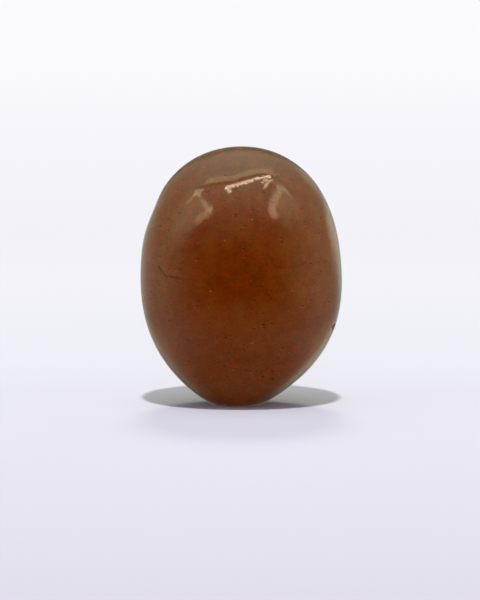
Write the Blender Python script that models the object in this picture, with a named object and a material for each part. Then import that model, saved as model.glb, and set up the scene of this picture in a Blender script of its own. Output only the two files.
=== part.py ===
"""A sunstone worn smooth by tumbling, egg-shaped, standing on its narrow end on a small rubbed flat.

Metres, +Z up. +X is to the right of someone who looks at the front of the stone, and +Y is away from
them. The origin is the middle of the flat that the stone stands on.
"""

from math import exp
from math import radians

import bmesh
import bpy
import numpy as np
from mathutils import Matrix
from mathutils import Vector

MM = 0.001

# Height of the crown above the flat, and how far the round foot would have gone on below it.
HEIGHT = 29.84 * MM
WORN_OFF = 0.57 * MM

# Half width of the ellipse that passes through the outline at each share of the full height.
# A plain ellipsoid would have one value: this stone is narrower in its foot and fuller in its crown.
HALF_WIDTHS = (
    (0.00, 10.03 * MM),
    (0.08, 10.50 * MM),
    (0.25, 11.57 * MM),
    (0.45, 11.64 * MM),
    (0.65, 11.78 * MM),
    (0.82, 12.28 * MM),
    (0.95, 12.88 * MM),
    (1.00, 13.27 * MM),
)

# Sideways place of the stone's middle at each share of the full height: it leans a little to +X.
LEAN = (
    (0.0, 0.0),
    (0.2, 0.49 * MM),
    (0.4, 0.61 * MM),
    (0.6, 0.56 * MM),
    (0.8, 0.54 * MM),
    (1.0, 0.63 * MM),
)

THICKNESS = 0.845  # front to back, against the width
FLATTER_FRONT = 0.045  # share of the half thickness that the front loses and the back gains

# Broad soft flats rubbed by other stones: where each is, how deep it goes and how far it fades.
RUBS = (
    (Vector((-10.4, 0.0, 22.8)) * MM, 0.29 * MM, 2.6 * MM),
    (Vector((3.5, 10.0, 17.5)) * MM, 0.60 * MM, 6.5 * MM),
    (Vector((-6.5, 7.0, 24.0)) * MM, 0.35 * MM, 4.5 * MM),
    (Vector((7.0, 7.0, 7.0)) * MM, 0.40 * MM, 4.5 * MM),
    (Vector((-8.5, 5.5, 9.5)) * MM, 0.30 * MM, 4.5 * MM),
)

# A small chip in the right flank, a little in front of the stone's widest line.
CHIP_LENGTH = 1.5 * MM
CHIP_WIDTH = 0.7 * MM
CHIP_DEPTH = 0.35 * MM
CHIP_HEIGHT = 9.25 * MM
CHIP_TURN = radians(-13.0)  # from +X, towards the front

FACE_STEPS = 5  # subdivisions of the icosphere: faces about 1 mm across
CHIP_STEPS = 3
CUTTER_SIZE = 20 * MM

COLOUR = (0.19, 0.055, 0.012, 1.0)
ROUGHNESS = 0.12
REFRACTION = 1.54


def through(stations):
    """The smooth curve that passes through all the stations, as a polynomial's coefficients."""
    places, values = zip(*stations)
    return np.polyfit(places, values, len(stations) - 1)


HALF_WIDTH_CURVE = through(HALF_WIDTHS)
LEAN_CURVE = through(LEAN)


def egg_point(direction):
    """Where a unit direction from the middle of a sphere lands on the stone before it was rubbed."""
    share = (direction.z + 1) / 2
    half_width = np.polyval(HALF_WIDTH_CURVE, share)
    swell = direction.y + FLATTER_FRONT * direction.y ** 2
    return Vector((
        np.polyval(LEAN_CURVE, share) + half_width * direction.x,
        half_width * THICKNESS * swell,
        share * (HEIGHT + WORN_OFF) - WORN_OFF,
    ))


def stone_point(direction):
    """The same point after the soft flats are rubbed in, each of them level across its middle."""
    point = egg_point(direction)
    inward = Vector((0, 0, 0))
    for place, depth, fade in RUBS:
        gap = (point - place).length
        towards_axis = Vector((-place.x, -place.y, 0)).normalized()
        inward += towards_axis * depth * exp(-(gap / fade) ** 2)
    return point + inward


def collection(name):
    made = bpy.data.collections.new(name)
    bpy.context.scene.collection.children.link(made)
    return made


def ball(name, steps, group):
    """An icosphere of radius 1 with its middle at the origin."""
    shape = bmesh.new()
    bmesh.ops.create_icosphere(shape, subdivisions=steps, radius=1.0)
    mesh = bpy.data.meshes.new(name)
    shape.to_mesh(mesh)
    shape.free()
    made = bpy.data.objects.new(name, mesh)
    group.objects.link(made)
    return made


def box(name, size, group):
    shape = bmesh.new()
    bmesh.ops.create_cube(shape, size=size)
    mesh = bpy.data.meshes.new(name)
    shape.to_mesh(mesh)
    shape.free()
    made = bpy.data.objects.new(name, mesh)
    group.objects.link(made)
    return made


def polished_stone():
    material = bpy.data.materials.new("polished_sunstone")
    material.use_nodes = True
    shader = material.node_tree.nodes["Principled BSDF"]
    shader.inputs["Base Color"].default_value = COLOUR
    shader.inputs["Roughness"].default_value = ROUGHNESS
    shader.inputs["Metallic"].default_value = 0.0
    shader.inputs["IOR"].default_value = REFRACTION
    return material


def cut(piece, cutter):
    cutter.hide_render = True
    cutter.display_type = "WIRE"
    step = piece.modifiers.new("cut_" + cutter.name, "BOOLEAN")
    step.operation = "DIFFERENCE"
    step.solver = "EXACT"
    step.object = cutter


def flat_cutter(group):
    """Takes off everything below the flat that the stone stands on."""
    cutter = box("flat_cutter", CUTTER_SIZE, group)
    cutter.location.z = -CUTTER_SIZE / 2
    return cutter


def chip_cutter(group):
    """A small lens that lies on the right flank and sinks into it by the chip's depth."""
    share = (CHIP_HEIGHT + WORN_OFF) / (HEIGHT + WORN_OFF)
    ring = 2 * (share * (1 - share)) ** 0.5
    level = Vector((ring, 0, 2 * share - 1))
    out = Matrix.Rotation(CHIP_TURN, 3, "Z")
    middle = stone_point(out @ level)
    cutter = ball("chip_cutter", CHIP_STEPS, group)
    cutter.data.transform(Matrix.Diagonal((CHIP_DEPTH, CHIP_LENGTH / 2, CHIP_WIDTH / 2, 1)))
    cutter.location = middle
    cutter.rotation_euler.z = CHIP_TURN
    return cutter


def sunstone(group, cutters):
    piece = ball("sunstone", FACE_STEPS, group)
    for vertex in piece.data.vertices:
        vertex.co = stone_point(vertex.co.normalized())
    piece.data.materials.append(polished_stone())
    piece.data.shade_smooth()
    cut(piece, flat_cutter(cutters))
    cut(piece, chip_cutter(cutters))
    return piece


def main():
    for old in list(bpy.data.objects):
        bpy.data.objects.remove(old)
    sunstone(collection("sunstone"), collection("cutters"))


main()
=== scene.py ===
"""The looks of a tumbled sunstone that stands on its narrow end: its fine polished surface, the cloudy
orange-brown feldspar with its flecks and healed cracks, a pale studio, and the camera.
"""

from math import cos
from math import pi
from math import radians
from math import sin

import bmesh
import bpy
import numpy as np
from mathutils import Matrix
from mathutils import Vector
from mathutils import noise


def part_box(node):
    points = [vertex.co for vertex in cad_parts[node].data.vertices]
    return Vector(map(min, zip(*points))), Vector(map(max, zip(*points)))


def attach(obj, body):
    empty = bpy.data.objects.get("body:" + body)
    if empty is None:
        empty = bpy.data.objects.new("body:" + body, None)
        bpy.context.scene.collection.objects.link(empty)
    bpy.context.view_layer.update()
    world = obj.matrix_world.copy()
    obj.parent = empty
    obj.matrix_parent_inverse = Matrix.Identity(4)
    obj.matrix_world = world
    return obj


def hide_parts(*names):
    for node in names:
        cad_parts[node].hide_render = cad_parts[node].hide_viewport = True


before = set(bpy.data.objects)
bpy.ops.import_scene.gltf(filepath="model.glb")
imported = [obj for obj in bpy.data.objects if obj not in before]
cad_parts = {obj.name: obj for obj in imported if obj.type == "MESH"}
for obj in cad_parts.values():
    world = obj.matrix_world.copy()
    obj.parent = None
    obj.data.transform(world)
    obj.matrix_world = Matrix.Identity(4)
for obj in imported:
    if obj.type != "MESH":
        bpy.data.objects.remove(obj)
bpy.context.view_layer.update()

# The stone's own millimetre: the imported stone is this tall.
LOW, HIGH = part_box("sunstone")
HEIGHT_IN_MM = 29.84
MM = (HIGH.z - LOW.z) / HEIGHT_IN_MM
HEIGHT = HEIGHT_IN_MM * MM

# How far the round foot would have gone on below the flat.
WORN_OFF = 0.57 * MM

# The outline, as in the solid: a narrow foot, straight flanks and a full crown, leaning a little to +X.
# Both are given at shares of the full height, in millimetres: the half width of the ellipse that passes
# through the outline, and the sideways place of the stone's middle.
HALF_WIDTHS = (
    (0.00, 10.03),
    (0.08, 10.50),
    (0.25, 11.57),
    (0.45, 11.64),
    (0.65, 11.78),
    (0.82, 12.28),
    (0.95, 12.88),
    (1.00, 13.27),
)
LEAN = (
    (0.0, 0.0),
    (0.2, 0.49),
    (0.4, 0.61),
    (0.6, 0.56),
    (0.8, 0.54),
    (1.0, 0.63),
)
THICKNESS = 0.845  # front to back, against the width
FLATTER_FRONT = 0.045  # share of the half thickness that the front loses and the back gains

# Broad soft flats rubbed by other stones, in millimetres: place, depth, fade.
RUBS = (
    ((-10.4, 0.0, 22.8), 0.29, 2.6),
    ((3.5, 10.0, 17.5), 0.60, 6.5),
    ((-6.5, 7.0, 24.0), 0.35, 4.5),
    ((7.0, 7.0, 7.0), 0.40, 4.5),
    ((-8.5, 5.5, 9.5), 0.30, 4.5),
)

# The chip in the right flank.
CHIP_HALF_LENGTH = 0.75 * MM
CHIP_HALF_WIDTH = 0.35 * MM
CHIP_DEPTH = 0.35 * MM
CHIP_HEIGHT = 9.25 * MM
CHIP_TURN = radians(-13.0)  # from +X, towards the front
CHIP_FLOOR = 0.6  # below 1 the floor is level and the sides are steep

SHOULDER = 0.12 * MM  # height of the worn shoulder round the flat
GRID_LEVELS = 7  # 128 faces along each edge of the cube that the ball is made from

# Unevenness left by tumbling: wavelength and height of each size of swell.
SWELLS = ((5.0 * MM, 0.030 * MM), (1.6 * MM, 0.006 * MM))

# Camera: a long lens a little above the stone.
CAMERA_DISTANCE = 0.400
CAMERA_RISE = radians(6.0)
CAMERA_TARGET = Vector((0.46 * MM, 0.0, 12.1 * MM))
PICTURE_HEIGHT = 69.24 * MM  # what the picture's height spans at the stone
SENSOR = 36.0


def through(stations):
    """The smooth curve that passes through all the stations, as a polynomial's coefficients."""
    places, values = zip(*stations)
    return np.polyfit(places, np.array(values) * MM, len(stations) - 1)


HALF_WIDTH_CURVE = through(HALF_WIDTHS)
LEAN_CURVE = through(LEAN)


def ball_directions(mesh):
    """The directions of a finely divided cube's vertices, spread evenly over a ball."""
    count = len(mesh.vertices)
    flat = np.empty(count * 3)
    mesh.vertices.foreach_get("co", flat)
    cube = flat.reshape(-1, 3)
    spread = np.tan(cube * pi / 4)
    return spread / np.linalg.norm(spread, axis=1, keepdims=True)


def egg(directions):
    """Where each direction lands on the stone, with its soft flats rubbed in."""
    x, y, z = directions.T
    share = (z + 1) / 2
    half_width = np.polyval(HALF_WIDTH_CURVE, share)
    points = np.stack([
        np.polyval(LEAN_CURVE, share) + half_width * x,
        half_width * THICKNESS * (y + FLATTER_FRONT * y ** 2),
        share * (HEIGHT + WORN_OFF) - WORN_OFF,
    ], axis=1)
    push = np.zeros_like(points)
    for place, depth, fade in RUBS:
        middle = np.array(place) * MM
        gap = np.linalg.norm(points - middle, axis=1)
        towards_axis = np.array([-place[0], -place[1], 0.0]) / np.hypot(place[0], place[1])
        push += np.outer(depth * MM * np.exp(-(gap / (fade * MM)) ** 2), towards_axis)
    return points + push


def chip_middle():
    """Where the middle of the chip lies on the flank."""
    share = (CHIP_HEIGHT + WORN_OFF) / (HEIGHT + WORN_OFF)
    ring = 2 * (share * (1 - share)) ** 0.5
    direction = np.array([[ring * cos(CHIP_TURN), ring * sin(CHIP_TURN), 2 * share - 1]])
    return egg(direction)[0]


def swelled(points, outward):
    """The slight unevenness of a surface polished by tumbling."""
    out = points.copy()
    for wavelength, height in SWELLS:
        rise = np.array([noise.noise(Vector(p / wavelength)) for p in points])
        out += outward * (rise * height)[:, None]
    return out


def chipped(points, outward):
    """Sinks a small oval chip into the flank."""
    middle = chip_middle()
    along = np.array([-sin(CHIP_TURN), cos(CHIP_TURN), 0.0])
    gap = points - middle
    across = (gap @ along / CHIP_HALF_LENGTH) ** 2 + (gap[:, 2] / CHIP_HALF_WIDTH) ** 2
    near = (np.linalg.norm(gap, axis=1) < 2 * CHIP_HALF_LENGTH) & (across < 1)
    dent = np.zeros(len(points))
    dent[near] = CHIP_DEPTH * (1 - across[near]) ** CHIP_FLOOR
    return points - outward * dent[:, None]


def footed(points):
    """Levels the foot at the flat, with a softly worn shoulder round it."""
    z = points[:, 2]
    blend = np.clip(SHOULDER - np.abs(z), 0, None) / SHOULDER
    points[:, 2] = np.maximum(z, 0) + blend ** 2 * SHOULDER / 4
    return points


def divided_cube(name):
    """A cube with a fine grid on each of its sides."""
    shape = bmesh.new()
    bmesh.ops.create_cube(shape, size=2)
    coarse = bpy.data.meshes.new(name)
    shape.to_mesh(coarse)
    shape.free()
    piece = bpy.data.objects.new(name, coarse)
    bpy.context.scene.collection.objects.link(piece)
    grid = piece.modifiers.new("grid", "SUBSURF")
    grid.subdivision_type = "SIMPLE"
    grid.levels = GRID_LEVELS
    grid.render_levels = GRID_LEVELS
    seen = piece.evaluated_get(bpy.context.evaluated_depsgraph_get())
    piece.data = bpy.data.meshes.new_from_object(seen)
    piece.modifiers.clear()
    return piece


def stone():
    """The whole stone as one fine mesh."""
    piece = divided_cube("polished_stone")
    points = egg(ball_directions(piece.data))
    outward = points - np.array([0, 0, HEIGHT / 2])
    outward /= np.linalg.norm(outward, axis=1, keepdims=True)
    points = footed(chipped(swelled(points, outward), outward))
    piece.data.vertices.foreach_set("co", points.ravel())
    piece.data.update()
    piece.data.shade_smooth()
    return piece


class Tree:
    """A node tree with short ways to add nodes and join them."""

    MEASURES = ("DOT_PRODUCT", "DISTANCE", "LENGTH")  # vector operations that give one number

    def __init__(self, tree):
        self.tree = tree

    def add(self, kind, **settings):
        node = self.tree.nodes.new(kind)
        for name, value in settings.items():
            setattr(node, name, value)
        return node

    def feed(self, socket, source):
        """Joins an output to a socket, or sets the socket's own value."""
        if isinstance(source, bpy.types.NodeSocket):
            self.tree.links.new(source, socket)
        else:
            socket.default_value = source

    def math(self, operation, *sources, clamp=False):
        node = self.add("ShaderNodeMath", operation=operation, use_clamp=clamp)
        for socket, source in zip(node.inputs, sources):
            self.feed(socket, source)
        return node.outputs[0]

    def vector(self, operation, *sources):
        node = self.add("ShaderNodeVectorMath", operation=operation)
        for socket, source in zip(node.inputs, sources):
            self.feed(socket, source)
        return node.outputs["Value" if operation in self.MEASURES else "Vector"]

    def axes(self, place):
        """The place along X, Y and Z."""
        node = self.add("ShaderNodeSeparateXYZ")
        self.feed(node.inputs[0], place)
        return node.outputs["X"], node.outputs["Y"], node.outputs["Z"]

    def scaled(self, vector, amount):
        node = self.add("ShaderNodeVectorMath", operation="SCALE")
        self.feed(node.inputs[0], vector)
        self.feed(node.inputs["Scale"], amount)
        return node.outputs["Vector"]

    def step(self, source, low, high, first=0.0, last=1.0):
        """Goes smoothly from first at low to last at high."""
        node = self.add("ShaderNodeMapRange", interpolation_type="SMOOTHSTEP")
        self.feed(node.inputs["Value"], source)
        self.feed(node.inputs["From Min"], low)
        self.feed(node.inputs["From Max"], high)
        self.feed(node.inputs["To Min"], first)
        self.feed(node.inputs["To Max"], last)
        return node.outputs["Result"]

    def mix(self, amount, one, other):
        node = self.add("ShaderNodeMix", data_type="RGBA")
        self.feed(node.inputs["Factor"], amount)
        self.feed(node.inputs["A"], one)
        self.feed(node.inputs["B"], other)
        return next(o for o in node.outputs if o.type == "RGBA")

    def noise(self, place, scale, detail=2.0, roughness=0.5, distortion=0.0):
        node = self.add("ShaderNodeTexNoise")
        self.feed(node.inputs["Vector"], place)
        self.feed(node.inputs["Scale"], scale)
        self.feed(node.inputs["Detail"], detail)
        self.feed(node.inputs["Roughness"], roughness)
        self.feed(node.inputs["Distortion"], distortion)
        return node.outputs["Fac"]


# Colours of the stone, linear: its clouds from deep orange-brown to olive, the tints of its middle, foot,
# flanks and crown, and what is scattered in it. The middle's tint is partly the stone's deeper colour and
# partly painted shade. The flanks' tint is partly a paler tone and partly painted light through the thin
# edges. The foot's tint is painted light, and the sole's and the crown's are painted shade. The pale flecks
# are partly painted glints.
DEEP = (0.111, 0.0190, 0.0012, 1)
OLIVE = (0.117, 0.0252, 0.0025, 1)
RUST = (0.126, 0.0195, 0.0012, 1)
DEEP_SHADED_HEART_TINT = (0.100, 0.0155, 0.0005, 1)
LIT_FOOT_TINT = (0.133, 0.0310, 0.0055, 1)
SHADED_SOLE_TINT = (0.110, 0.0300, 0.0078, 1)
PALE_LIT_FLANK_TINT = (0.135, 0.0400, 0.0070, 1)
PALE_LIT_SHOULDER_TINT = (0.126, 0.0450, 0.0090, 1)
SHADED_CROWN_TINT = (0.087, 0.0300, 0.0030, 1)
FLECK_DARK = (0.050, 0.005, 0.0004, 1)
PALE_FLECK_AND_GLINT = (0.240, 0.105, 0.035, 1)
CRACK_DARK = (0.046, 0.014, 0.003, 1)
CHIP_DARK_COLOUR = (0.012, 0.006, 0.004, 1)

# The middle of the deepest colour, partly the stone's own and partly painted shade, and how far from it
# that colour starts and stops fading, in millimetres.
DEEP_SHADED_HEART = (0.3, -9.0, 15.2)
DEEP_SHADED_HEART_REACH = (1.5, 5.0)

# The paler flanks, partly their tone and partly painted light through the thin edges, in millimetres: how
# far out they start and are full, between which heights the shoulder's tint takes over, and between which
# they also spread inwards, from none to what share.
PALE_LIT_FLANK_OUT = (4.0, 9.5)
PALE_LIT_SHOULDER_RISE = (19.0, 24.0)
PALE_LIT_SHOULDER_SPREAD = (21.0, 25.0, 0.0, 0.45)

# Tints that come in up or down the stone: painted light on the lower flanks, painted shade at the very
# bottom and on the crown. Where each starts and where it is full, in millimetres.
BANDS = (
    (14.5, 9.0, LIT_FOOT_TINT),
    (6.0, 0.5, SHADED_SOLE_TINT),
    (24.0, 28.0, SHADED_CROWN_TINT),
)

# Uneven brightness: patches to the millimetre, detail, roughness, darkest and brightest.
MOTTLES = (
    (0.9, 2.0, 0.5, 0.91, 1.09),
    (3.2, 3.0, 0.7, 0.86, 1.14),
)
RUST_SHIFT = (31.0, 7.0, 3.0)
HUE_SHIFT = (11.0, 5.0, 17.0)
REDDER = (1.02, 0.93, 0.93, 1)
GREENER = (0.98, 1.07, 1.07, 1)

# Flecks: the cell that may hold one, its largest radius, the share of the cells that hold one, the
# cells' shift, and its strength and colour. The first kind is partly pale grains and partly painted
# glints. The third kind is a painted glint, a pale edge beside each of the fourth.
FLECKS = (
    (1.1, 0.17, 0.3, (5.3, 5.3, 5.3), 0.50, PALE_FLECK_AND_GLINT),
    (0.42, 0.14, 0.7, (2.1, 2.1, 2.1), 0.45, FLECK_DARK),
    (0.75, 0.18, 0.7, (0.13, 0.0, 0.26), 0.20, PALE_FLECK_AND_GLINT),
    (0.75, 0.21, 0.7, (0.0, 0.0, 0.0), 0.72, FLECK_DARK),
)
FLECK_SQUEEZE = (0.7, 0.8, 1.5)  # flecks are wider than they are high
FLECK_CORE = 0.4  # the share of a fleck's radius inside which it is full

# Healed cracks seen from the front, in millimetres along X and Z.
LEFT_CRACK = ((-8.9, 16.6), (-8.3, 15.9), (-8.0, 15.5), (-7.4, 15.5), (-6.2, 15.35), (-5.0, 15.2))
RIGHT_CRACK = ((3.6, 16.8), (5.6, 16.7), (7.4, 16.9), (8.2, 17.4))

# Each crack's points, half width in millimetres, share of its length where it starts to fade, strength.
CRACKS = (
    (LEFT_CRACK, 0.21, 0.45, 0.85),
    (RIGHT_CRACK, 0.15, 0.9, 0.35),
)
CRACK_CORE = 0.3  # the share of the half width inside which a crack is full
CRACK_START = 0.03  # the share of its length over which a crack comes in
CRACK_WOBBLE = 0.35  # in millimetres
CRACK_GAPS = (0.32, 0.44)  # the noise between which a crack goes from absent to full
CRACK_FRONT = (-2.0, -4.0)  # along Y in millimetres: only the front has cracks

CHIP_DARK_REACH = (0.30, 0.65)  # from the chip's middle, in millimetres: where the darkening starts and stops fading
CHIP_DARK_STRENGTH = 0.9
ROUGHNESS = (0.035, 0.06)  # of the polish, at its best and at its worst
CHIP_ROUGHNESS_GAIN = 0.25
BUMP_HEIGHT = 0.008 * MM
REFRACTION = 1.54
GLOW_RADIUS = (1.0, 0.35, 0.12)  # how far red, green and blue go inside the stone, against the scale
GLOW_SCALE = 4.0 * MM


def stone_place(tree):
    """The place in the stone in its own millimetres, which the patterns follow through the solid."""
    return tree.scaled(tree.add("ShaderNodeTexCoord").outputs["Object"], 1 / MM)


def ragged(tree, place, scale, amount):
    """The place, pushed about by noise so that what follows it gets uneven edges."""
    node = tree.add("ShaderNodeTexNoise")
    tree.feed(node.inputs["Vector"], place)
    tree.feed(node.inputs["Scale"], scale)
    push = tree.vector("SUBTRACT", node.outputs["Color"], (0.5, 0.5, 0.5))
    return tree.vector("ADD", place, tree.scaled(push, amount))


def flecks(tree, place, cell, radius, share, shift):
    """1 inside scattered grains with soft edges: one in some of the cells, of unlike sizes."""
    cells = tree.add("ShaderNodeTexVoronoi")
    tree.feed(cells.inputs["Vector"], tree.vector("ADD", place, shift))
    tree.feed(cells.inputs["Scale"], 1 / cell)
    chance = tree.add("ShaderNodeSeparateColor")
    tree.feed(chance.inputs[0], cells.outputs["Color"])
    size = tree.step(chance.outputs[0], 1 - share, 1.0, 0.0, radius / cell)
    inner = tree.math("MULTIPLY", size, FLECK_CORE)
    return tree.step(cells.outputs["Distance"], inner, size, 1.0, 0.0)


def crack_height(tree, along, points):
    """The height of the crack, from the share of its length that lies behind."""
    low, high = points[0][0], points[-1][0]
    bottom = min(z for x, z in points)
    top = max(z for x, z in points)
    route = tree.add("ShaderNodeFloatCurve")
    line = route.mapping.curves[0]
    for x, z in points[1:-1]:
        line.points.new((x - low) / (high - low), (z - bottom) / (top - bottom))
    line.points[0].location = (0.0, (points[0][1] - bottom) / (top - bottom))
    line.points[-1].location = (1.0, (points[-1][1] - bottom) / (top - bottom))
    for point in line.points:
        point.handle_type = "VECTOR"
    route.mapping.update()
    tree.feed(route.inputs["Value"], along)
    return tree.math("ADD", tree.math("MULTIPLY", route.outputs[0], top - bottom), bottom)


def hairline(tree, place, points, width, fade):
    """1 on a thin crack that follows the points across the front, thinning out towards its last point."""
    x, y, z = tree.axes(place)
    low, high = points[0][0], points[-1][0]
    along = tree.math("DIVIDE", tree.math("SUBTRACT", x, low), high - low)
    level = crack_height(tree, along, points)
    wobble = tree.math("SUBTRACT", tree.noise(place, 2.2, detail=3.0), 0.5)
    wobble = tree.math("MULTIPLY", wobble, CRACK_WOBBLE)
    off = tree.math("ABSOLUTE", tree.math("SUBTRACT", tree.math("ADD", z, wobble), level))
    mask = tree.step(off, CRACK_CORE * width, width, 1.0, 0.0)
    mask = tree.math("MULTIPLY", mask, tree.step(along, 0.0, CRACK_START))
    mask = tree.math("MULTIPLY", mask, tree.step(along, fade, 1.0, 1.0, 0.0))
    mask = tree.math("MULTIPLY", mask, tree.step(tree.noise(place, 3.0, detail=2.0), *CRACK_GAPS))
    return tree.math("MULTIPLY", mask, tree.step(y, *CRACK_FRONT))


def body_colour(tree, place):
    """The clouds of the stone, with its deeper middle and its paler flanks, foot and crown, partly painted:
    shade in the middle, at the very bottom and on the crown, light on the flanks and foot.
    """
    x, _, z = tree.axes(place)
    clouds = tree.noise(place, 0.17, detail=3.0, distortion=0.5)
    colour = tree.mix(tree.step(clouds, 0.38, 0.62), DEEP, OLIVE)
    rust = tree.noise(tree.vector("ADD", place, RUST_SHIFT), 0.30, detail=2.0)
    colour = tree.mix(tree.math("MULTIPLY", tree.step(rust, 0.50, 0.75), 0.6), colour, RUST)
    # Deeper front middle: partly the stone's colour, partly painted shade.
    deep_shaded_heart = tree.step(tree.vector("DISTANCE", place, DEEP_SHADED_HEART), *DEEP_SHADED_HEART_REACH, 1.0, 0.0)
    colour = tree.mix(deep_shaded_heart, colour, DEEP_SHADED_HEART_TINT)
    # Paler flanks and shoulder: partly their tone, partly painted light through the thin edges.
    pale_lit_flank = tree.mix(tree.step(z, *PALE_LIT_SHOULDER_RISE), PALE_LIT_FLANK_TINT, PALE_LIT_SHOULDER_TINT)
    sideways = tree.step(tree.math("ABSOLUTE", x), *PALE_LIT_FLANK_OUT)
    upward = tree.step(z, *PALE_LIT_SHOULDER_SPREAD)
    colour = tree.mix(tree.math("MAXIMUM", sideways, upward), colour, pale_lit_flank)
    # Painted light on the lower flanks, painted shade at the very bottom and on the crown.
    for start, full, tint in BANDS:
        colour = tree.mix(tree.step(z, start, full), colour, tint)
    return colour


def mottled(tree, place, colour):
    """The colour, uneven in brightness and in hue."""
    for scale, detail, roughness, darkest, brightest in MOTTLES:
        patches = tree.noise(place, scale, detail, roughness)
        colour = tree.scaled(colour, tree.step(patches, 0.25, 0.75, darkest, brightest))
    hue = tree.noise(tree.vector("ADD", place, HUE_SHIFT), 0.8, detail=2.0)
    return tree.vector("MULTIPLY", colour, tree.mix(tree.step(hue, 0.35, 0.65), REDDER, GREENER))


def flecked(tree, place, colour):
    uneven = tree.vector("MULTIPLY", ragged(tree, place, 3.0, 0.30), FLECK_SQUEEZE)
    # The pale flecks are partly pale grains and partly painted glints; the third kind is painted glint only.
    for cell, radius, share, shift, strength, tint in FLECKS:
        grains = flecks(tree, uneven, cell, radius, share, shift)
        colour = tree.mix(tree.math("MULTIPLY", grains, strength), colour, tint)
    return colour


def cracked(tree, place, colour):
    for points, width, fade, strength in CRACKS:
        line = hairline(tree, place, points, width, fade)
        colour = tree.mix(tree.math("MULTIPLY", line, strength), colour, CRACK_DARK)
    return colour


def dark_chip_mask(tree, place):
    """1 on the floor of the chip."""
    off = tree.vector("SUBTRACT", place, Vector(chip_middle() / MM))
    return tree.step(tree.vector("LENGTH", off), *CHIP_DARK_REACH, 1.0, 0.0)


def sunstone_material():
    material = bpy.data.materials.new("sunstone")
    material.use_nodes = True
    tree = Tree(material.node_tree)
    shader = material.node_tree.nodes["Principled BSDF"]
    place = stone_place(tree)
    dark_chip = dark_chip_mask(tree, place)

    colour = mottled(tree, place, body_colour(tree, place))
    colour = cracked(tree, place, flecked(tree, place, colour))
    # Darker and rougher on the chip's floor.
    colour = tree.mix(tree.math("MULTIPLY", dark_chip, CHIP_DARK_STRENGTH), colour, CHIP_DARK_COLOUR)
    tree.feed(shader.inputs["Base Color"], colour)

    rough = tree.step(tree.noise(place, 0.9, detail=3.0), 0.3, 0.7, *ROUGHNESS)
    rough = tree.math("ADD", rough, tree.math("MULTIPLY", dark_chip, CHIP_ROUGHNESS_GAIN))
    tree.feed(shader.inputs["Roughness"], rough)

    bump = tree.add("ShaderNodeBump")
    tree.feed(bump.inputs["Distance"], BUMP_HEIGHT)
    tree.feed(bump.inputs["Height"], tree.noise(place, 3.0, detail=1.0, roughness=0.6))
    tree.feed(shader.inputs["Normal"], bump.outputs[0])

    tree.feed(shader.inputs["IOR"], REFRACTION)
    tree.feed(shader.inputs["Subsurface Weight"], 1.0)
    tree.feed(shader.inputs["Subsurface Radius"], GLOW_RADIUS)
    tree.feed(shader.inputs["Subsurface Scale"], GLOW_SCALE)
    return material


# Thin lamps that the polish mirrors: radiance, colour, width, and the directions from the stone that
# each runs through. A tube hangs above the front, with a short hook at its left end and two thin ones
# at its right. The rest are the bright edges of the two windows and of the ceiling.
LAMP_DISTANCE = 0.5
TUBE_COLOUR = (1.0, 0.73, 0.53)
WINDOW_COLOUR = (1.0, 0.72, 0.42)
RIGHT_SIDE_COLOUR = (1.0, 0.68, 0.42)
RIGHT_SILL_COLOUR = (1.0, 0.66, 0.42)
LAMPS = {
    "tube_hook": (10.0, TUBE_COLOUR, 0.024, ((-0.17, -0.60, 0.78), (-0.25, -0.48, 0.84))),
    "tube": (11.5, TUBE_COLOUR, 0.028, (
        (-0.25, -0.48, 0.84), (-0.09, -0.49, 0.87), (0.15, -0.37, 0.92), (0.44, -0.09, 0.89))),
    "tube_end_inner": (8.0, TUBE_COLOUR, 0.014, ((0.43, -0.20, 0.88), (0.33, -0.34, 0.88))),
    "tube_end_outer": (8.5, TUBE_COLOUR, 0.018, ((0.47, -0.14, 0.87), (0.37, -0.45, 0.81))),
    "left_window_top": (2.9, WINDOW_COLOUR, 0.068, ((-0.68, -0.21, 0.70), (-0.59, -0.35, 0.73))),
    "left_window_back": (1.2, WINDOW_COLOUR, 0.040, ((-0.68, -0.24, 0.70), (-0.79, -0.25, 0.56))),
    "left_window_side": (1.7, WINDOW_COLOUR, 0.036, (
        (-0.58, -0.47, 0.67), (-0.56, -0.59, 0.58), (-0.46, -0.70, 0.55))),
    "left_window_sill": (1.8, WINDOW_COLOUR, 0.055, (
        (-0.46, -0.70, 0.55), (-0.58, -0.65, 0.49), (-0.68, -0.61, 0.40))),
    "right_window_side": (2.2, RIGHT_SIDE_COLOUR, 0.056, (
        (0.59, -0.20, 0.78), (0.54, -0.49, 0.68), (0.48, -0.65, 0.59))),
    "right_window_sill": (2.5, RIGHT_SILL_COLOUR, 0.070, ((0.48, -0.65, 0.59), (0.53, -0.72, 0.45))),
    "right_window_top": (2.2, WINDOW_COLOUR, 0.022, (
        (0.60, -0.16, 0.78), (0.68, -0.18, 0.71), (0.76, -0.17, 0.63))),
    "ceiling_edge": (1.35, WINDOW_COLOUR, 0.075, (
        (-0.53, -0.15, 0.84), (-0.25, -0.31, 0.92), (-0.08, -0.29, 0.955), (0.15, -0.15, 0.98),
        (0.33, 0.03, 0.94), (0.46, 0.09, 0.88))),
}

# Distant lights that light the stone and the paper but aren't mirrored: direction, strength, blur in
# degrees, colour. The key throws the oval shadow a little behind the stone, and the back light a soft
# shade before it.
SUNS = {
    "key": ((0, -0.43, 1.00), 3.29, 3, (1.0, 0.97, 0.78)),
    "back": ((0, 0.71, 0.76), 1.48, 15, (0.92, 1.0, 0.50)),
    "front": ((0, -1.00, 0.12), 0.74, 30, (1.0, 0.98, 0.96)),
    "bounce": ((0, -0.40, -1.00), 4.15, 100, (1.0, 0.98, 0.96)),
    "left": ((-1.00, -0.35, -0.10), 0.42, 20, (1.0, 0.92, 0.85)),
    "right": ((1.00, -0.35, -0.10), 0.75, 20, (1.0, 0.92, 0.85)),
}


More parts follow.
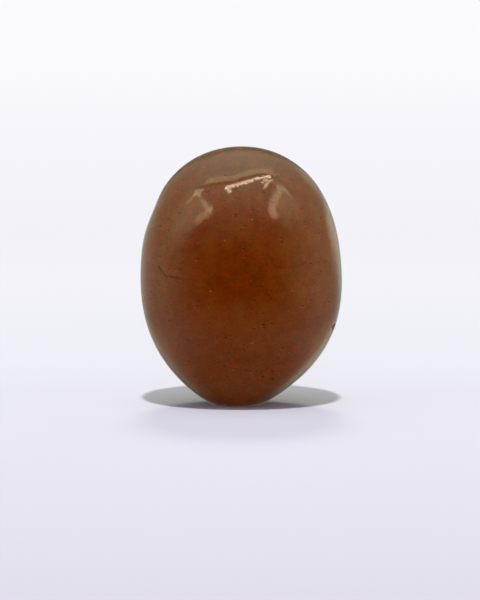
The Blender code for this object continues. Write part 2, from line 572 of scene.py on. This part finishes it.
def lamp_piece(name, radiance, colour, width, start, end):
    """A straight thin light between two directions from the stone."""
    first = Vector(start).normalized() * LAMP_DISTANCE
    last = Vector(end).normalized() * LAMP_DISTANCE
    middle = (first + last) / 2
    light = bpy.data.lights.new(name, "AREA")
    light.shape = "RECTANGLE"
    light.size = (last - first).length
    light.size_y = width
    light.energy = radiance * pi * light.size * light.size_y
    light.color = colour
    lamp = bpy.data.objects.new(name, light)
    along = (last - first).normalized()
    side = middle.cross(along).normalized()
    turn = Matrix((along, side, along.cross(side))).transposed()
    lamp.matrix_world = Matrix.Translation(middle + Vector((0, 0, HEIGHT / 2))) @ turn.to_4x4()
    lamp.visible_diffuse = False
    bpy.context.scene.collection.objects.link(lamp)


def sun(name, direction, strength, blur, colour):
    light = bpy.data.lights.new(name, "SUN")
    light.energy = strength
    light.angle = radians(blur)
    light.color = colour
    lamp = bpy.data.objects.new(name, light)
    lamp.rotation_euler = Vector(direction).to_track_quat("Z", "Y").to_euler()
    lamp.visible_glossy = False
    bpy.context.scene.collection.objects.link(lamp)


# The surroundings: a ceiling that grows brighter overhead, a ring of light round the horizon that is
# dark where the camera stands, and dim ground.
CEILING = (1.15, 1.13, 1.03)
RING = (0.38, 0.395, 0.35)
RING_BACK = (0.14, 0.17, 0.15)  # what the ring gains behind the stone
RING_BELOW = 0.10  # what is left of the ring straight down

# How far towards the camera, or up, a direction lies where each of these starts and where it is full.
RING_OPENS = (0.97, -0.10)
BACK_GROWS = (-0.50, -0.95)
RING_RISES = (-0.95, -0.55)

# Soft boxes: the light that each adds, then its corners in order round it, each with the blur of the
# edge that starts there.
PATCHES = (
    # The front part of the ceiling.
    ((0.30, 0.26, 0.14), ((-0.79, -0.20, 0.60), 0.02), ((0.79, -0.18, 0.60), 0.30),
     ((0.0, 0.70, 0.70), 0.30)),
    # The panes of the left and the right window.
    ((0.80, 0.95, 0.55), ((-0.63, -0.23, 0.74), 0.03), ((-0.43, -0.72, 0.55), 0.08),
     ((-0.82, -0.55, 0.24), 0.20), ((-0.98, -0.08, 0.19), 0.30)),
    ((0.75, 0.80, 0.42), ((0.58, -0.12, 0.81), 0.03), ((0.44, -0.72, 0.54), 0.03),
     ((0.59, -0.70, 0.40), 0.15), ((0.87, -0.33, 0.36), 0.20), ((0.80, -0.12, 0.59), 0.05)),
    # Bright paper behind, more of it on the right.
    ((0.33, 0.32, 0.23), ((0.42, 0.90, -0.13), 0.06), ((0.87, 0.48, 0.00), 0.06),
     ((0.82, 0.53, 0.22), 0.06), ((0.34, 0.92, 0.12), 0.06)),
    ((0.48, 0.40, 0.24), ((0.54, 0.84, 0.00), 0.06), ((0.84, 0.54, 0.04), 0.06),
     ((0.80, 0.57, 0.20), 0.06), ((0.56, 0.81, 0.16), 0.06)),
    ((0.30, 0.20, 0.10), ((0.30, 0.88, 0.30), 0.08), ((0.45, 0.83, 0.20), 0.08),
     ((0.62, 0.60, 0.42), 0.08), ((0.48, 0.65, 0.55), 0.08)),
    ((0.28, 0.24, 0.13), ((0.45, 0.85, -0.25), 0.10), ((0.93, 0.25, -0.38), 0.10),
     ((0.82, 0.20, -0.62), 0.10), ((0.55, 0.60, -0.60), 0.10)),
    ((0.18, 0.13, 0.05), ((-0.45, 0.85, -0.25), 0.10), ((-0.93, 0.25, -0.38), 0.10),
     ((-0.82, 0.20, -0.62), 0.10), ((-0.55, 0.60, -0.60), 0.10)),
    ((0.26, 0.26, 0.16), ((0.25, 0.93, -0.25), 0.08), ((0.60, 0.70, -0.38), 0.08),
     ((0.56, 0.52, -0.64), 0.08), ((0.24, 0.80, -0.55), 0.08)),
    ((0.12, 0.12, 0.12), ((-0.50, 0.87, -0.20), 0.10), ((-0.50, 0.87, 0.20), 0.10),
     ((-0.93, 0.38, 0.20), 0.10), ((-0.93, 0.38, -0.20), 0.10)),
)

# Dark strips: how dark, the half width, and the directions that each runs through. They are the
# lamp's shade behind the tube, its end above the right window, and a short edge at the tube's right end.
STRIPS = (
    (0.85, 0.024, ((-0.63, -0.19, 0.755), (-0.45, -0.31, 0.84), (-0.25, -0.39, 0.886), (-0.08, -0.40, 0.913),
                   (0.15, -0.26, 0.953), (0.36, -0.08, 0.93), (0.47, -0.05, 0.88))),
    (0.60, 0.022, ((0.47, -0.05, 0.88), (0.68, -0.06, 0.73), (0.80, -0.11, 0.59))),
    (0.85, 0.025, ((0.47, -0.09, 0.88), (0.43, -0.44, 0.79))),
)

# Dark soft-edged areas: how dark, then the corners as above. They are the gap between the paper and
# the ceiling, and the ground behind the foot.
SHADES = (
    (0.58, ((-0.42, 0.90, 0.08), 0.08), ((0.26, 0.95, 0.10), 0.08), ((0.25, 0.75, 0.60), 0.12),
     ((-0.30, 0.72, 0.60), 0.10)),
    (0.85, ((-0.32, 0.90, -0.28), 0.12), ((0.27, 0.92, -0.28), 0.14), ((0.30, 0.00, -1.00), 0.19),
     ((-0.32, 0.00, -1.00), 0.16)),
)


STRIP_END = 0.01  # blur of a strip's ends


def patch(tree, direction, corners):
    """1 inside the outline that the corners draw on the sky."""
    middle = sum((Vector(corner) for corner, blur in corners), Vector())
    mask = 1.0
    for (start, blur), (end, _) in zip(corners, corners[1:] + corners[:1]):
        inward = Vector(start).cross(Vector(end)).normalized()
        if inward.dot(middle) < 0:
            inward.negate()
        inside = tree.step(tree.vector("DOT_PRODUCT", direction, inward), -blur, blur)
        mask = tree.math("MULTIPLY", mask, inside)
    return mask


def strip(tree, direction, start, end, half_width):
    """1 along the shortest line on the sky between two directions."""
    start, end = Vector(start).normalized(), Vector(end).normalized()
    off = tree.math("ABSOLUTE", tree.vector("DOT_PRODUCT", direction, start.cross(end).normalized()))
    middle = (start + end).normalized()
    reach = middle.dot(start)
    near = tree.vector("DOT_PRODUCT", direction, middle)
    mask = tree.step(off, 0.5 * half_width, 1.5 * half_width, 1.0, 0.0)
    return tree.math("MULTIPLY", mask, tree.step(near, reach - STRIP_END, reach + STRIP_END))


def studio_surroundings():
    world = bpy.data.worlds.new("studio")
    world.use_nodes = True
    bpy.context.scene.world = world
    tree = Tree(world.node_tree)
    sky = world.node_tree.nodes["Background"]
    direction = tree.add("ShaderNodeTexCoord").outputs["Generated"]
    height = tree.vector("DOT_PRODUCT", direction, (0.0, 0.0, 1.0))
    front = tree.vector("DOT_PRODUCT", direction, (0.0, -1.0, 0.0))

    above = tree.math("MAXIMUM", height, 0.0)
    ring = tree.math("MULTIPLY", tree.step(front, *RING_OPENS), tree.math("SUBTRACT", 1.0, above))
    ring = tree.math("MULTIPLY", ring, tree.step(height, *RING_RISES, RING_BELOW, 1.0))
    behind = tree.scaled(RING_BACK, tree.step(front, *BACK_GROWS))
    ring = tree.scaled(tree.vector("ADD", behind, RING), ring)
    light = tree.vector("ADD", ring, tree.scaled(CEILING, tree.math("MULTIPLY", above, above)))
    for added, *corners in PATCHES:
        light = tree.vector("ADD", light, tree.scaled(added, patch(tree, direction, corners)))
    for darkness, half_width, places in STRIPS:
        for start, end in zip(places, places[1:]):
            shade = tree.math("MULTIPLY", strip(tree, direction, start, end, half_width), darkness)
            light = tree.scaled(light, tree.math("SUBTRACT", 1.0, shade))
    for darkness, *corners in SHADES:
        shade = tree.math("MULTIPLY", patch(tree, direction, corners), darkness)
        light = tree.scaled(light, tree.math("SUBTRACT", 1.0, shade))
    tree.feed(sky.inputs["Color"], light)


# The studio floor from its near edge to far behind the stone: place along Y, colour.
FLOOR_TONES = (
    (-0.12, (0.748, 0.715, 0.835)),
    (0.00, (0.823, 0.807, 0.896)),
    (0.144, (0.880, 0.871, 0.930)),
    (0.475, (0.922, 0.905, 0.965)),
    (1.10, (0.956, 0.956, 0.991)),
)
FLOOR_RADIUS = 0.30
WALL_RADIUS = 1.2
WALL_HEIGHT = 0.5
BEND_RADIUS = 0.25  # of the sweep from the floor up to the wall
BEND_STEPS = 12
FLOOR_LIGHT = (2.06, 2.02, 1.58)  # light that falls on the floor, against white
PAINTED_POOL_GAIN = 1.06  # a painted pool of light: how much lighter the paper is close to the stone
PAINTED_POOL_REACH = (0.008, 0.025)  # from the stone's foot: where that starts and stops fading
GLOW_REACH = (0.06, 0.26)  # from the foot: where lit paper starts to turn into glowing paper, and ends


def floor_tone(tree):
    """The pale lavender of the paper, lighter towards the back, and the place that it is looked up at."""
    place = tree.add("ShaderNodeNewGeometry").outputs["Position"]
    _, along, _ = tree.axes(place)
    near, far = FLOOR_TONES[0][0], FLOOR_TONES[-1][0]
    share = tree.math("DIVIDE", tree.math("SUBTRACT", along, near), far - near, clamp=True)
    ramp = tree.add("ShaderNodeValToRGB")
    tree.feed(ramp.inputs[0], share)
    stops = ramp.color_ramp.elements
    while len(stops) < len(FLOOR_TONES):
        stops.new(0.5)
    for stop, (y, tone) in zip(stops, FLOOR_TONES):
        stop.position = (y - near) / (far - near)
        stop.color = (*tone, 1)
    return ramp.outputs[0], place


def paper_material(name, lit):
    """Paper that is lit near the stone and glows evenly further out, so that no edge shows."""
    material = bpy.data.materials.new(name)
    material.use_nodes = True
    tree = Tree(material.node_tree)
    material.node_tree.nodes.remove(material.node_tree.nodes["Principled BSDF"])
    out = material.node_tree.nodes["Material Output"]
    tone, place = floor_tone(tree)
    glow = tree.add("ShaderNodeEmission")
    tree.feed(glow.inputs["Color"], tone)
    if not lit:
        tree.feed(out.inputs["Surface"], glow.outputs[0])
        return material
    far = tree.vector("LENGTH", place)
    # A painted pool of light on the paper round the stone.
    painted_pool = tree.step(far, *PAINTED_POOL_REACH, PAINTED_POOL_GAIN, 1.0)
    paper = tree.add("ShaderNodeBsdfDiffuse")
    tree.feed(paper.inputs["Color"], tree.vector("DIVIDE", tree.scaled(tone, painted_pool), FLOOR_LIGHT))
    blend = tree.add("ShaderNodeMixShader")
    tree.feed(blend.inputs[0], tree.step(far, *GLOW_REACH))
    tree.feed(blend.inputs[1], paper.outputs[0])
    tree.feed(blend.inputs[2], glow.outputs[0])
    tree.feed(out.inputs["Surface"], blend.outputs[0])
    return material


def turned(name, profile, steps=96):
    """A surface made by turning a profile of (radius, height) round the Z axis."""
    shape = bmesh.new()
    rings = []
    for radius, height in profile:
        ring = [
            shape.verts.new((radius * cos(2 * pi * i / steps), radius * sin(2 * pi * i / steps), height))
            for i in range(steps)
        ]
        rings.append(ring)
    for low, high in zip(rings, rings[1:]):
        for i in range(steps):
            j = (i + 1) % steps
            shape.faces.new((low[i], low[j], high[j], high[i]))
    mesh = bpy.data.meshes.new(name)
    shape.to_mesh(mesh)
    shape.free()
    mesh.shade_smooth()
    made = bpy.data.objects.new(name, mesh)
    bpy.context.scene.collection.objects.link(made)
    return made


def studio_floor():
    floor = turned("floor", ((0.0001, 0.0), (FLOOR_RADIUS, 0.0)))
    floor.data.materials.append(paper_material("floor_paper", lit=True))
    floor.visible_glossy = False
    floor.visible_shadow = False
    sweep = [(FLOOR_RADIUS, 0.0)]
    for i in range(BEND_STEPS + 1):
        a = i / BEND_STEPS * pi / 2
        sweep.append((WALL_RADIUS - BEND_RADIUS + BEND_RADIUS * sin(a), BEND_RADIUS - BEND_RADIUS * cos(a)))
    sweep.append((WALL_RADIUS, WALL_HEIGHT))
    wall = turned("backdrop", sweep)
    wall.data.materials.append(paper_material("backdrop_paper", lit=False))
    wall.visible_glossy = False
    wall.visible_diffuse = False
    wall.visible_shadow = False


def camera():
    lens = bpy.data.cameras.new("camera")
    lens.sensor_width = SENSOR
    lens.lens = SENSOR * CAMERA_DISTANCE / PICTURE_HEIGHT
    lens.clip_start = 0.01
    lens.clip_end = 10.0
    made = bpy.data.objects.new("camera", lens)
    back = Vector((0, -cos(CAMERA_RISE), sin(CAMERA_RISE)))
    made.location = CAMERA_TARGET + back * CAMERA_DISTANCE
    made.rotation_euler = back.to_track_quat("Z", "Y").to_euler()
    bpy.context.scene.collection.objects.link(made)
    bpy.context.scene.camera = made


camera()
bpy.context.scene.view_settings.view_transform = "Standard"
studio_surroundings()
studio_floor()
for name, (direction, strength, blur, colour) in SUNS.items():
    sun(name, direction, strength, blur, colour)
for name, (radiance, colour, width, places) in LAMPS.items():
    for start, end in zip(places, places[1:]):
        lamp_piece(name, radiance, colour, width, start, end)

body = stone()
body.data.materials.clear()
body.data.materials.append(sunstone_material())
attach(body, "root")
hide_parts("sunstone")
